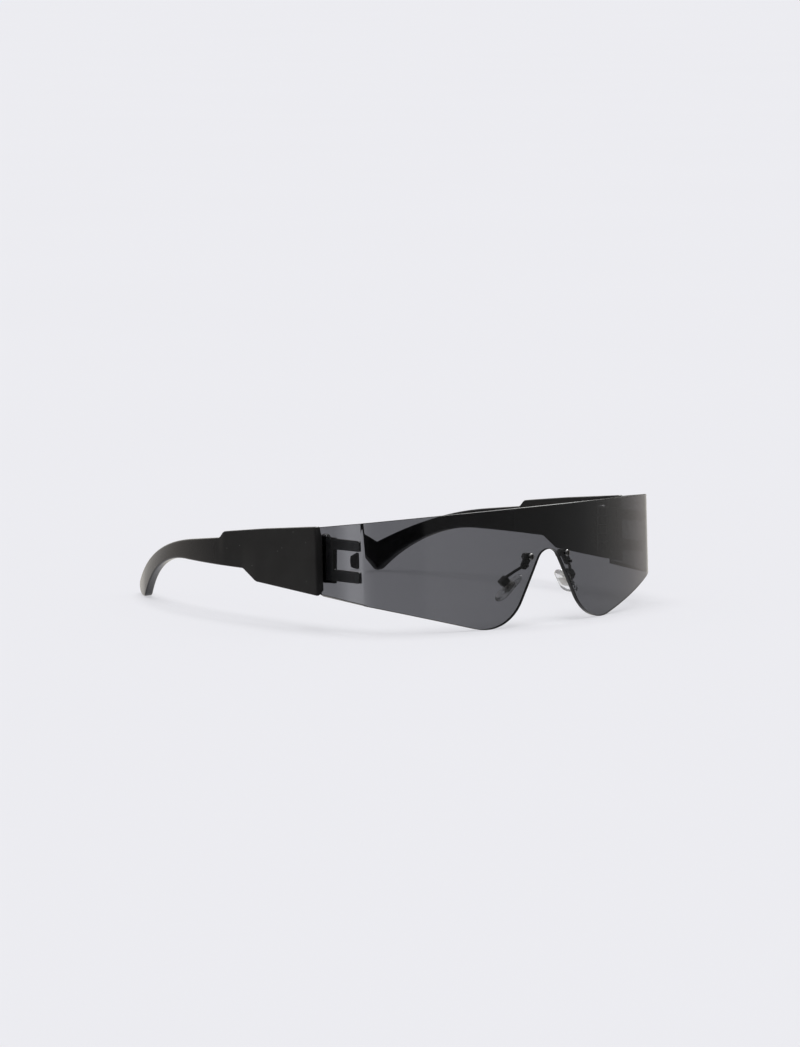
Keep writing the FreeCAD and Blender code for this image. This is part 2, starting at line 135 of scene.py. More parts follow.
TIP_LONG = 9.1
TIP_HIGH = 4.8
TIP_CORNER = 0.4
TIP_BULGE = 0.3
TIP_UNDERCUT = 2.4
ARM_LOW = PANEL_LOW + PANEL_RISE + NOTCH_RISE
EAR_TURN = math.acos(1 - (ARM_LOW - TIP_CORNER) / EAR_UNDER_RADIUS)
HEEL_AT = EAR_AT + EAR_UNDER_RADIUS * math.sin(EAR_TURN)
TIP_AT = HEEL_AT + TIP_LONG
SOLE_AT = TIP_AT - TIP_UNDERCUT
BOW_START = 46.5
BOW_RADIUS = 134.0
CORNER_SOFTNESS = 0.7
SOFT_SAMPLES = 21
BEVEL_RUN = 9.0
BEVEL_HIGH = (1.2, 3.8)
BEVEL_LOW = (2.4, 1.6)
BEVEL_LAP = 0.3
CORNER_SHARE = 0.9
PANEL_EDGE = 0.35
TIP_EDGE = 0.7
TIP_SLACK = 0.002
TIP_SAMPLES = 4001
BEND_ROOM = 1.0
TIP_RINGS = 40
FRONT_RINGS = 6
RING_DIGITS = 5

# end plates and hinges
PLATE_THICK = 1.0
PLATE_LOW = 17.3
PLATE_TALL = 14.4
PLATE_BACK = 2.3
PLATE_AIR = 0.05
PLATE_CORNER = 0.15
PLATE_RIM = 0.12
PRONG_LOW = 3.9
PRONG_HIGH = 3.6
PRONG_ROUND = 0.7
SLOT_DEPTH = 11.8
SLOT_ROUND = 0.2
CREASE_GAP = 0.7
HINGE_BACK = 0.3
BARREL_RADIUS = 1.7
BARREL_RIM = 0.14
LEAF_THICK = 0.8
LEAF_LENGTH = 5.7
LEAF_ROUND = 0.3
LEAF_RIM = 0.1
KNUCKLES = 5
KNUCKLE_GAP = 0.1
TURN_GAP = 0.4
PIN_RADIUS = 0.7
PIN_AIR = 0.03
PIN_HEAD_RADIUS = 1.45
PIN_HEAD_HEIGHT = 0.75
PIN_SLOT = (0.5, 0.55)
PIN_TAIL = 0.4
REAR_LEAF_LENGTH = 10.0
REAR_LEAF_BACK = 0.17
REAR_LEAF_ROUNDS = (0.2, 1.0, 1.0, 0.2)
WEB_START = 0.3
LEAF_MARGIN = 0.4
LEAF_SINK = 0.4

# screws: how far a shank goes into its head, its chamfered end, and shares of a slotted dome
HEAD_LAP = 0.1
TAIL_CHAMFER = 0.15
HEAD_SEAT_SHARE = 0.2
DOME_SHARE = 0.8
SLOT_EDGE_SHARE = 0.12

# nose pad hardware; the pads' pivots give the place of the middle of the lens front
MOUNT_X = 9.4
PAD_BACK = 4.55
MOUNT_SAG = LENS_RADIUS - math.sqrt(LENS_RADIUS ** 2 - MOUNT_X ** 2)
APEX = joint_place("left_pad_rock")[1] - MOUNT_SAG - LENS_THICK - PAD_BACK
SCREW_SIDE = 0.85
SCREW_HIGH = 23.6
SCREW_RADIUS = 0.7
SCREW_HEAD_RADIUS = 1.2
SCREW_HEAD_HEIGHT = 0.7
SCREW_SLOT = (0.36, 0.45)
SCREW_TAIL = 0.5
PEG_SIDE = 0.9
PEG_HIGH = 20.7
PEG_RADIUS = 0.6
PEG_PROUD = 0.4
PEG_ROUND = 0.25
PEG_FACET = 0.07
PEG_ROOT = 0.3
SEAT_GAP = 0.04
BRACKET_THICK = 1.1
BRACKET_RADIUS = 1.35
BRACKET_RIM = 0.25
BRACKET_END_POINTS = 17
NUT_FLATS = 2.5
NUT_THICK = 1.4
NUT_AIR = 0.02
NUT_RIM = 0.15
NUT_STEPS = 48
WIRE_RADIUS = 0.5
WIRE_OUT = 2.9
WIRE_BACK = 1.5
WIRE_DOWN = 1.8
WIRE_BEND_SHARE = 0.45
WIRE_BEND_RINGS = 17
WIRE_STEPS = 24
BOX_WIDE = 3.0
BOX_TALL = 3.2
BOX_DEEP = 1.6
BOX_WALL = 0.5
BOX_FLOOR = 0.6
BOX_EDGE = 0.25
BOX_EDGE_STEPS = 4
BOX_LIP = 0.06
BOX_CORNER = 0.45
BOX_CORNER_LEAST = 0.12
PAD_LONG = (0.70, 0.22, -0.68)
PAD_FACE = (-0.68, -0.16, -0.72)
PAD_REACH = 1.75
PAD_THICK = 2.0
PAD_TOP_RADIUS = 2.3
PAD_LOW_RADIUS = 2.9
PAD_LENGTH = 12.4
PAD_TOP_POINTS = 33
PAD_LOW_POINTS = 41
PAD_SIDE_POINTS = 14
PAD_LAYERS = 41
PAD_RIM_POWER = 0.62
PAD_FACE_POWER = 0.72
INSERT_THICK = 0.5
INSERT_WIDE = 3.0
INSERT_TALL = 4.4
INSERT_CORNER = 0.9
INSERT_RIM = 0.12
LUG_CORNER = 0.15
LUG_SHARE = 0.95
LUG_GAP = 0.12
ROCK_GAP = 0.36
PAD_SCREW_RADIUS = 0.4
PAD_SCREW_HEAD = 0.7
PAD_SCREW_HEAD_HEIGHT = 0.4
PAD_SCREW_SLOT = (0.22, 0.5)
PAD_SCREW_CHAMFER = 0.1
PAD_SCREW_TAIL = 0.3

# finishes: the part of a noise that is used, the lens's body, the temples' polish and dust
NOISE_ENDS = (0.3, 0.7)
HAZE_ENDS = (0.35, 0.8)
LENS_IOR = 1.58
LENS_TINT = (0.418, 0.421, 0.437)
LENS_DENSITY = 1590.0
POLISH_FROM, POLISH_TO = -0.01, 0.03
PANEL_ROUGHNESS, TIP_ROUGHNESS = 0.42, 0.16
DUST_SCALE = 95.0
SPECK_CORE, SPECK_RIM = 0.012, 0.026

# stage: floor, walls, world and lamps; wall tones go by the angle from straight ahead to the right
PALE = (0.838, 0.838, 0.871)
FLOOR_HALF = 60.0
FLOOR_GLOW = 0.6
FLOOR_UNEVEN = 1.004
WORLD_SHARE = 0.3
SUN_SHARE = 1.0 - WORLD_SHARE
SUN_ANGLE = math.radians(50)
SIDE_LAMP_SIZE = 1.2
SIDE_LAMP_POWER = 120.0
SIDE_LAMP_PLACE = (1.14, 0.10, 1.64)
WALL_RADIUS = 6.0
WALL_HALF_TALL = 3.4
WALL_STEPS = 144
WALL_TONES = (
    (-180, (0.90, 0.86, 0.83)), (-167, (0.66, 0.62, 0.585)), (-150, (0.45, 0.425, 0.40)),
    (-137, (0.22, 0.22, 0.22)), (-129, (0.08, 0.08, 0.08)), (-90, (0.06, 0.06, 0.06)),
    (-20, (0.0, 0.0, 0.0)), (-4.4, (0.0, 0.0, 0.0)), (-3.6, (0.15, 0.15, 0.15)),
    (42, (0.18, 0.18, 0.18)), (58, (0.25, 0.25, 0.25)), (75, (0.42, 0.41, 0.40)),
    (87, (0.50, 0.475, 0.46)), (98, (0.66, 0.62, 0.60)), (120, (0.90, 0.87, 0.80)),
    (140, (0.95, 0.92, 0.85)), (180, (0.90, 0.86, 0.83)))

# camera: the photograph's angle, distance and frame, from its vanishing lines
CAMERA_AZIMUTH = math.radians(-42.5)
CAMERA_ELEVATION = math.radians(6.6)
CAMERA_DISTANCE = 1.7917
CAMERA_AIM_X = -9.72
CAMERA_AIM_BACK = 65.01
CAMERA_AIM_HIGH = 29.65
CAMERA_SIGHT = 200.0
FOCAL_PIXELS = 5120.0
FRAME_TALL = 1047.0
SENSOR = 36.0


def unit(v):
    """Vectors brought to length one."""
    v = np.asarray(v, float)
    return v / np.linalg.norm(v, axis=-1, keepdims=True)


def onward(start, end, count):
    """Even steps from a start, which is left out, to an end."""
    return np.linspace(start, end, count + 1)[1:]


def heading(angle):
    """Unit vectors at the angles given."""
    return np.stack([np.cos(angle), np.sin(angle)], -1)


def full_turn(steps):
    """Angles of even steps round a circle."""
    return np.linspace(0, 2 * math.pi, steps, endpoint=False)


def half_chord(radius, off):
    """Half the chord of a circle at a distance from its centre, nothing outside the circle."""
    return np.sqrt(np.maximum(radius ** 2 - off ** 2, 0))


def shell(rings, caps=True):
    """Closed skin over a stack of rings of points, with a flat cap on the first and last ring."""
    rings = np.asarray(rings, float)
    n, m = rings.shape[:2]
    i = np.arange(n - 1)[:, None] * m
    j = np.arange(m)
    k = (j + 1) % m
    faces = np.stack([i + j, i + m + j, i + m + k, i + k], -1).reshape(-1, 4).tolist()
    if caps:
        faces.append(list(range(m)))
        faces.append(list(range((n - 1) * m, n * m)))
    return rings.reshape(-1, 3), faces


def torus_shell(rings):
    """Closed skin over a stack of rings whose last ring joins the first, as round a hole."""
    rings = np.asarray(rings, float)
    return shell(np.concatenate([rings, rings[:1]]), caps=False)


def placed(skin, origin, ex, ey, ez):
    """A skin moved from local axes to the place and axes given."""
    points, faces = skin
    return points @ np.stack([ex, ey, ez]) + np.asarray(origin, float), faces


def new_object(name, data):
    """An object of the data given, in the scene."""
    made = bpy.data.objects.new(name, data)
    bpy.context.scene.collection.objects.link(made)
    return made


def make_piece(name, skins, sign, material, body, slot, *nodes, sharp=SHARP, second=None):
    """One mesh from closed skins in millimetres, mirrored for the right side, riding on its body.

    A second material comes with a number for each face: 1 where the face takes it, 0 elsewhere."""
    points = []
    faces = []
    count = 0
    for skin_points, skin_faces in skins:
        points.append(skin_points)
        faces += [[count + v for v in face] for face in skin_faces]
        count += len(skin_points)
    points = np.concatenate(points) * (sign * MM, MM, MM)
    mesh = bpy.data.meshes.new(name)
    mesh.from_pydata(points.tolist(), [], faces)
    mesh.materials.append(material)
    if second is not None:
        mesh.materials.append(second[0])
        mesh.polygons.foreach_set("material_index", second[1])
    bm = bmesh.new()
    bm.from_mesh(mesh)
    bmesh.ops.remove_doubles(bm, verts=bm.verts, dist=SAME_PLACE)
    bmesh.ops.dissolve_degenerate(bm, edges=bm.edges, dist=SAME_PLACE)
    bmesh.ops.recalc_face_normals(bm, faces=bm.faces)
    bm.to_mesh(mesh)
    bm.free()
    mesh.shade_smooth()
    mesh.set_sharp_from_angle(angle=math.radians(sharp))
    piece = new_object(name, mesh)
    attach(piece, body)
    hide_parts(*nodes)


def rounded_rect(half_wide, half_tall, radius, steps=5):
    """Rectangle with quarter circles at its corners; arrays of sizes give a ring for each entry."""
    a = np.atleast_1d(np.asarray(half_wide, float))[:, None]
    b = np.atleast_1d(np.asarray(half_tall, float))[:, None]
    r = np.minimum(np.atleast_1d(np.asarray(radius, float))[:, None], np.minimum(a, b))
    turn = np.linspace(0, QUARTER, steps + 1)
    angle = np.concatenate([turn + q * QUARTER for q in range(4)])
    sx = np.repeat([1, -1, -1, 1], steps + 1)
    sy = np.repeat([1, 1, -1, -1], steps + 1)
    return sx * (a - r) + r * np.cos(angle), sy * (b - r) + r * np.sin(angle)


def rounded_outline(corners, radii, steps=6):
    """Closed outline through corners, each rounded by an arc tangent to its two sides."""
    corners = np.asarray(corners, float)
    pieces = []
    befores = np.roll(corners, 1, 0)
    afters = np.roll(corners, -1, 0)
    for before, at, after, radius in zip(befores, corners, afters, radii):
        into = unit(at - before)
        away = unit(after - at)
        turn = math.atan2(into[0] * away[1] - into[1] * away[0], into @ away)
        if radius == 0:
            pieces.append(at[None])
            continue
        inward = np.array([-into[1], into[0]]) * math.copysign(1, turn)
        start = at - into * radius * math.tan(abs(turn) / 2)
        t = np.linspace(0, abs(turn), steps + 1)[:, None]
        pieces.append(start + radius * (np.sin(t) * into + (1 - np.cos(t)) * inward))
    return np.concatenate(pieces)


def drawn_in(outline, inset):
    """Outline moved inward by an inset, along the mean of the normals of its two sides."""
    into = unit(outline - np.roll(outline, 1, 0))
    away = np.roll(into, -1, 0)
    n1 = np.stack([into[:, 1], -into[:, 0]], -1)
    n2 = np.stack([away[:, 1], -away[:, 0]], -1)
    n = (n1 + n2) / (1 + (n1 * n2).sum(-1, keepdims=True))
    return outline - inset * n


def quarter_round(radius, steps):
    """Inset and rise along a quarter circle, from the edge of a flat face to the full width."""
    turn = np.linspace(0, QUARTER, steps + 1)
    return radius * (1 - np.sin(turn)), radius * (1 - np.cos(turn))


def at_depth(flat, y):
    """An outline in X and Z as a ring of points at one depth."""
    return np.stack([flat[:, 0], np.full(len(flat), y), flat[:, 1]], -1)


def rimmed(outline, y0, y1, rim, steps):
    """Rings of an outline carried from y0 to y1, drawn in by a quarter circle at both rims."""
    inset, rise = quarter_round(rim, steps)
    insets = np.concatenate([inset, inset[::-1]])
    depths = np.concatenate([y0 + rise, y1 - rise[::-1]])
    return [at_depth(drawn_in(outline, i), d) for i, d in zip(insets, depths)]


def slab(outline, y0, y1, rim, steps=4):
    """Plate: an outline in X and Z carried from y0 to y1, with rounded rims."""
    return shell(rimmed(outline, y0, y1, rim, steps))


def holed_slab(outer, inner, y0, y1, rim, steps=3):
    """Plate with a hole: rings go from the hole's wall over a face, round the outside and back."""
    around = rimmed(outer, y0, y1, rim, steps)
    return torus_shell([at_depth(inner, y0)] + around + [at_depth(inner, y1)])


def circle(radius, steps=40):
    """Outline of a circle about the origin."""
    return radius * heading(full_turn(steps))


def turned(profile, steps=36):
    """Solid of revolution about local Y: a profile of radius and height, from axis to axis."""
    profile = np.asarray(profile, float)
    t = full_turn(steps)
    r = profile[:, :1]
    y = np.repeat(profile[:, 1:], steps, 1)
    return shell(np.stack([r * np.cos(t), y, r * np.sin(t)], -1), caps=False)


def shank(radius, tail, top, chamfer=TAIL_CHAMFER):
    """Round shank of a screw about local Y, from its chamfered tail to its top inside the head."""
    full = tail + math.copysign(chamfer, top - tail)
    return turned([(0, tail), (radius - chamfer, tail), (radius, full), (radius, top), (0, top)])


def screw_head(radius, seat, top, slot_wide, slot_deep, rows=26, steps=72):
    """Domed head: height over the disc is a rounded dome, less a groove across the middle."""
    side = np.array([[radius * HEAD_SEAT_SHARE, seat], [radius, seat]])
    turn = np.linspace(0, QUARTER, rows)
    fall = (seat - top) * (1 - np.sin(turn)) * DOME_SHARE
    profile = np.concatenate([side, np.stack([radius * np.cos(turn), top + fall], -1)])
    t = full_turn(steps)
    x = profile[:, :1] * np.cos(t)
    z = profile[:, :1] * np.sin(t)
    y = np.repeat(profile[:, 1:], steps, 1)
    groove = np.clip((slot_wide / 2 - np.abs(x)) / (slot_wide * SLOT_EDGE_SHARE) + 0.5, 0, 1)
    floor = top + (seat - top) * slot_deep
    towards = np.sign(seat - top)
    y = np.where(towards * (floor - y) > 0, y + groove * (floor - y), y)
    return shell(np.stack([x, y, z], -1))


def lens_plan():
    """Plan of half the lens: outer points, and the inner point across the thickness from each.

    Outside, the front circle runs into a smaller easing circle, that into a tight fold, and that
    into the side return, which is thin beside the fold and fuller at its rear; inside, circle and
    side meet in a crease."""
    side_dir = heading(SIDE_HEADING)
    side_out = heading(SIDE_HEADING - QUARTER)
    wide = LENS_RADIUS - EASE_RADIUS
    tight = EASE_RADIUS - FOLD_RADIUS
    full = LENS_THICK - SIDE_WALL
    reach = LENS_REAR_X - (FOLD_RADIUS + full) * side_out[0] - SIDE_LENGTH * side_dir[0]
    across = wide + tight * math.cos(EASE_TURN)
    ahead = tight * math.sin(EASE_TURN)
    begin = math.asin(reach / math.hypot(across, ahead)) - math.atan2(ahead, across)
    eased = begin + EASE_TURN

    def front(angle, radius):
        return radius * heading(angle - QUARTER) + (0, LENS_RADIUS)

    def arc(centre, radius, start, end, count):
        return centre + radius * heading(onward(start, end, count) - QUARTER)

    ease_centre = front(begin, wide)
    fold_centre = ease_centre + tight * heading(eased - QUARTER)
    fold_end = fold_centre + side_out * FOLD_RADIUS
    rear_in = fold_end + side_dir * SIDE_LENGTH - side_out * SIDE_WALL
    q = rear_in - (0, LENS_RADIUS)
    inner = LENS_RADIUS - LENS_THICK
    side_run = q @ side_dir + math.sqrt((q @ side_dir) ** 2 - q @ q + inner * inner)
    crease = rear_in - side_dir * side_run
    crease_angle = math.asin(crease[0] / inner)

    nose_end = NOSE_SPAN / LENS_RADIUS
    angles = np.concatenate([np.linspace(0, nose_end, NOSE_STEPS + 1),
                             onward(nose_end, begin, BROW_STEPS)])
    ease = arc(ease_centre, EASE_RADIUS, begin, eased, EASE_STEPS)
    fold = arc(fold_centre, FOLD_RADIUS, eased, SIDE_HEADING, FOLD_STEPS)
    marks = (0, THIN_RUN, THIN_RUN + TAPER_RUN, SIDE_LENGTH)
    far = np.concatenate([onward(*run) for run in zip(marks, marks[1:], SIDE_STEPS)])[:, None]
    thicker = SIDE_SWELL * np.clip((far - THIN_RUN) / TAPER_RUN, 0, 1)
    into_crease = front(onward(begin, crease_angle, CREASE_STEPS), inner)
    past_steps = EASE_STEPS + FOLD_STEPS - CREASE_STEPS
    past_crease = crease + side_dir * onward(0, side_run - SIDE_LENGTH, past_steps)[:, None]
    outer = np.concatenate([front(angles, LENS_RADIUS), ease, fold,
                            fold_end + side_dir * far + side_out * thicker])
    inside = np.concatenate([front(angles, inner), into_crease, past_crease,
                             fold_end - side_out * SIDE_WALL + side_dir * far])
    return outer, inside, rear_in, side_dir, side_run


def lower_edge(x):
    """Height of the lens's lower edge over x: bridge arc, nose slope, eye arc, rising edges."""
    x = np.abs(x)
    slope = np.array([math.sin(NOSE_ANGLE), math.cos(NOSE_ANGLE)])
    bridge = BRIDGE_TOP - BRIDGE_RADIUS
    reach = BRIDGE_RADIUS + EYE_RADIUS
    eye_x = (reach - (EYE_RADIUS - bridge) * slope[1]) / slope[0]
    bridge_end = np.array([0, bridge]) + slope * BRIDGE_RADIUS
    eye_start = np.array([eye_x, EYE_RADIUS]) - slope * EYE_RADIUS
    eye_end = np.array([eye_x + EYE_RADIUS * math.sin(LOWER_ANGLE),
                        EYE_RADIUS * (1 - math.cos(LOWER_ANGLE))])
    corner_x = FACE - CORNER_IN
    arch = bridge + half_chord(BRIDGE_RADIUS, x)
    fall = eye_start - bridge_end
    side = bridge_end[1] + (x - bridge_end[0]) * fall[1] / fall[0]
    eye = EYE_RADIUS - half_chord(EYE_RADIUS, x - eye_x)
    rise = eye_end[1] + (np.minimum(x, corner_x) - eye_end[0]) * math.tan(LOWER_ANGLE)
    rise = rise + np.maximum(x - corner_x, 0) * SIDE_RISE
    zones = [x < bridge_end[0], x < eye_start[0], x < eye_end[0]]
    return np.select(zones, [arch, side, eye], rise)


def lens_skin():
    """The lens as rings: each ring goes up the outer face, over the top edge, down and under."""
    outer, inside = lens_plan()[:2]
    mirror = np.array([-1, 1])
    outer = np.concatenate([outer[:0:-1] * mirror, outer])
    inside = np.concatenate([inside[:0:-1] * mirror, inside])
    c = EDGE_CHAMFER
    share = np.linspace(0, 1, FACE_ROWS)
    depth = np.concatenate([np.zeros(FACE_ROWS), [c, LENS_THICK - c],
                            np.full(FACE_ROWS, LENS_THICK), [LENS_THICK - c, c]])
    climb = np.concatenate([share, [1, 1], share[::-1], [0, 0]])
    inset = np.tile(np.concatenate([np.full(FACE_ROWS, c), [0, 0]]), 2)
    xy = outer[:, None] + (inside - outer)[:, None] * (depth / LENS_THICK)[:, None]
    lift = REAR_LIFT * np.clip(1 - (outer[-1, 1] - xy[..., 1]) / SIDE_LENGTH, 0, 1)
    base = lower_edge(xy[..., 0]) + lift
    level = xy[..., 1] * STRETCH
    top = (LENS_HEIGHT - TOP_FALL * (level - LEAN * LEAN_LEVEL)) / (1 + TOP_FALL * LEAN)
    z = base + inset + climb * (top - base - 2 * inset)
    y = level + LEAN * (z - LEAN_LEVEL) + APEX
    return shell(np.stack([xy[..., 0], y, z], -1))


def lens_rim(faces):
    """One for the faces of the lens's cut edges and rear ends, nothing for its two broad faces."""
    ring = np.tile(np.concatenate([np.zeros(FACE_ROWS - 1, int), [1, 1, 1]]), 2)
    return np.concatenate([np.tile(ring, (faces - 2) // len(ring)), [1, 1]])


def painted_light_face(faces):
    """One for an end plate's flat face against the lens, which takes painted light, nothing for its
    other faces.
    """
    return np.where(np.arange(faces) == faces - 2, 1, 0)


def arm_top(y):
    """Height of a temple's upper edge at a distance from its front end, corners still sharp."""
    foot_at = STEP_AT + STEP_RUN
    foot = PANEL_TOP - PANEL_FALL - PANEL_FALL_REAR - STEP_DROP
    tip = np.array([TIP_AT, TIP_HIGH])
    along = np.array([math.cos(ARM_FALL), -math.sin(ARM_FALL)])
    down = np.array([-math.sin(ARM_FALL), -math.cos(ARM_FALL)])
    span = tip - (foot_at, foot)
    drop = span @ down
    run = span @ along - math.sqrt(drop * (2 * EAR_OVER_RADIUS - drop))
    over = np.array([foot_at, foot]) + along * run
    centre = over + down * EAR_OVER_RADIUS
    panel = np.interp(y, [0, PANEL_MID, STEP_AT, foot_at],
                      [PANEL_TOP, PANEL_TOP - PANEL_FALL, foot + STEP_DROP, foot])
    arm = foot - (y - foot_at) * math.tan(ARM_FALL)
    ear = centre[1] + half_chord(EAR_OVER_RADIUS, y - centre[0])
    end = tip_round(y, upper=True)
    return np.select([y < foot_at, y < over[0], y < tip[0]], [panel, arm, ear], end)


def tip_round(y, upper):
    """Rounded end of a temple: an arc from the tip to the sole, its upper or its lower half."""
    a = np.array([TIP_AT, TIP_HIGH])
    b = np.array([TIP_AT + TIP_BULGE, (TIP_HIGH + TIP_CORNER) / 2])
    c = np.array([SOLE_AT, TIP_CORNER])
    m = np.stack([b - a, c - b])
    centre = np.linalg.solve(m, [((b @ b) - (a @ a)) / 2, ((c @ c) - (b @ b)) / 2])
    radius = np.linalg.norm(a - centre)
    half = half_chord(radius, y - centre[0])
    return centre[1] + half if upper else centre[1] - half


def tip_end():
    """Distance of the very end of a temple from its front."""
    y = np.linspace(TIP_AT, TIP_AT + 2 * TIP_EDGE, TIP_SAMPLES)
    gap = tip_round(y, upper=True) - tip_round(y, upper=False)
    return y[np.flatnonzero(gap > 0)[-1]]


def arm_under(y):
    """Height of a temple's lower edge at a distance from its front end, corners still sharp."""
    low_line = np.interp(y, [0, NOTCH_AT, NOTCH_AT + NOTCH_RUN],
                         [PANEL_LOW, PANEL_LOW + PANEL_RISE, ARM_LOW])
    ear = ARM_LOW - EAR_UNDER_RADIUS + half_chord(EAR_UNDER_RADIUS, y - EAR_AT)
    middle = (HEEL_AT + SOLE_AT) / 2
    sole = TIP_CORNER * ((y - middle) / (SOLE_AT - middle)) ** 2
    end = tip_round(y, upper=False)
    return np.select([y < EAR_AT, y < HEEL_AT, y < SOLE_AT], [low_line, ear, sole], end)


def softened(edge, y):
    """An edge with its corners rounded: its mean over a window that shrinks near both ends."""
    behind = np.maximum(SOLE_AT - y, 0)
    room = np.minimum(CORNER_SOFTNESS, np.minimum(y, behind))
    window = np.linspace(-1, 1, SOFT_SAMPLES)[:, None]
    return edge(y + window * room).mean(0)


def temple_skin():
    """A temple as rounded rectangles across its length: the edges give height, the bow gives place.

    At the front end the inner edges are cut back by two planes that come to nothing behind, and
    the rings lean with the lens. The spans give a start, an end and how many rings lie there."""
    end = tip_end() - TIP_SLACK
    step_start = STEP_AT - BEND_ROOM
    step_end = STEP_AT + STEP_RUN + BEND_ROOM
    spans = ((PANEL_EDGE, BEVEL_RUN, 12), (BEVEL_RUN, PANEL_MID, 12), (PANEL_MID, BOW_START, 16),
             (BOW_START, step_start, 4), (step_start, step_end, 40), (step_end, HEEL_AT, 120),
             (NOTCH_AT - BEND_ROOM, NOTCH_AT + NOTCH_RUN + BEND_ROOM, 50))
    runs = [np.linspace(*span) for span in spans]
    runs.append(HEEL_AT + (end - HEEL_AT) * np.sin(np.linspace(0, QUARTER, TIP_RINGS)))
    y = np.unique(np.round(np.concatenate(runs), RING_DIGITS))
    narrowed, front = quarter_round(PANEL_EDGE, FRONT_RINGS - 1)
    y = np.concatenate([front, y[1:]])
    inset = np.concatenate([narrowed, np.zeros(len(y) - FRONT_RINGS)])
    upper = softened(arm_top, y)
    lower = softened(arm_under, y)
    run = np.maximum(y - BOW_START, 0)
    outside = FACE - BOW_RADIUS + half_chord(BOW_RADIUS, run)
    inside = FACE - BOW_RADIUS + half_chord(BOW_RADIUS - TEMPLE_THICK, run)
    edge = np.interp(y, [0, STEP_AT, EAR_AT, end], [PANEL_EDGE, PANEL_EDGE, TIP_EDGE, TIP_EDGE])
    wide = (outside - inside) / 2 - inset
    tall = np.maximum((upper - lower) / 2 - inset, 0)
    x, z = rounded_rect(wide, tall, edge - np.minimum(inset, edge * CORNER_SHARE))
    fade = np.maximum(1 - y / BEVEL_RUN, 0)
    lap = edge + BEVEL_LAP
    most = tall * CORNER_SHARE
    corner_high = np.minimum(np.maximum(BEVEL_HIGH[1] * fade, lap), most)
    corner_low = np.minimum(np.maximum(BEVEL_LOW[1] * fade, lap), most)
    middle = x.shape[1] // 2
    x = np.insert(x, [middle, middle], -wide[:, None], 1)
    z = np.insert(z, [middle, middle], np.stack([tall - corner_high, corner_low - tall], -1), 1)
    x = x + ((outside + inside) / 2)[:, None]
    z = z + ((upper + lower) / 2)[:, None]
    cut_high = (z - (upper - BEVEL_HIGH[1] * fade)[:, None]) * BEVEL_HIGH[0] / BEVEL_HIGH[1]
    cut_low = ((lower + BEVEL_LOW[1] * fade)[:, None] - z) * BEVEL_LOW[0] / BEVEL_LOW[1]
    cut = np.where(fade[:, None] > 0, np.maximum(cut_high, cut_low), 0)
    x = np.maximum(x, np.minimum(inside[:, None] + cut, outside[:, None] - PANEL_EDGE))
    lean = LEAN * (z - LEAN_LEVEL) * np.maximum(1 - y / PANEL_MID, 0)[:, None]
    return shell(np.stack([x, y[:, None] + TEMPLE_FRONT + lean, z], -1))


def side_axes():
    """Origin and axes on the inner face of a side return: forward from its rear end, inward, up."""
    rear_in, side_dir, side_run = lens_plan()[2:]
    back = unit((side_dir[0], side_dir[1] * STRETCH, 0))
    inward = unit(np.cross((0, LEAN, 1), back))
    up = np.cross(back, inward)
    origin = np.array([rear_in[0], rear_in[1] * STRETCH + APEX, LEAN_LEVEL]) - up * LEAN_LEVEL
    return (origin, -back, inward, up), side_run


def end_plate_skin():
    """Two-pronged plate: an outline with a slot between its rounded prongs, given thickness."""
    axes, side_run = side_axes()
    tip = side_run - CREASE_GAP
    root = tip - SLOT_DEPTH
    top = PLATE_LOW + PLATE_TALL
    slot_low = PLATE_LOW + PRONG_LOW
    slot_top = top - PRONG_HIGH
    corners = [(PLATE_BACK, PLATE_LOW), (tip, PLATE_LOW), (tip, slot_low), (root, slot_low)]
    corners += [(root, slot_top), (tip, slot_top), (tip, top), (PLATE_BACK, top)]
    prong = [PRONG_ROUND, PRONG_ROUND]
    radii = [PLATE_CORNER] + prong + [SLOT_ROUND, SLOT_ROUND] + prong + [PLATE_CORNER]
    plate = slab(rounded_outline(corners, radii), PLATE_AIR, PLATE_THICK, PLATE_RIM)
    return placed(plate, *axes)


def knuckle_span(i):
    """Lower and upper end of a hinge's knuckle, counted from below."""
    length = (HINGE_HIGH - HINGE_LOW - (KNUCKLES - 1) * KNUCKLE_GAP) / KNUCKLES
    start = HINGE_LOW + i * (length + KNUCKLE_GAP)
    return start, start + length


def hinge_axes():
    """Origin and axes of a hinge: local Y is up along the pin."""
    at = joint_place("left_temple_fold")
    return np.array([(at[0], at[1], 0), (1, 0, 0), (0, 0, 1), (0, -1, 0)], float)


def knuckle_skin(i):
    """Round knuckle of a hinge with the hole for its pin."""
    bore = circle(PIN_RADIUS + PIN_AIR)
    ring = holed_slab(circle(BARREL_RADIUS), bore, *knuckle_span(i), BARREL_RIM)
    return placed(ring, *hinge_axes())


def front_leaf_skins():
    """Leaf on the end plate, its rear edge cut back beside the two knuckles of the other leaf."""
    axes = side_axes()[0]
    free = BARREL_RADIUS + TURN_GAP - HINGE_BACK
    corners = [(LEAF_LENGTH, HINGE_LOW), (LEAF_LENGTH, HINGE_HIGH), (-HINGE_BACK, HINGE_HIGH)]
    for i in (3, 1):
        start, end = knuckle_span(i)
        corners += [(-HINGE_BACK, end + KNUCKLE_GAP), (free, end + KNUCKLE_GAP)]
        corners += [(free, start - KNUCKLE_GAP), (-HINGE_BACK, start - KNUCKLE_GAP)]
    corners.append((-HINGE_BACK, HINGE_LOW))
    radii = [LEAF_ROUND, LEAF_ROUND] + [0] * (len(corners) - 2)
    outline = rounded_outline(corners, radii)
    plate = slab(outline, PLATE_THICK, PLATE_THICK + LEAF_THICK, LEAF_RIM)
    return [placed(plate, *axes)] + [knuckle_skin(i) for i in (0, 2, 4)]


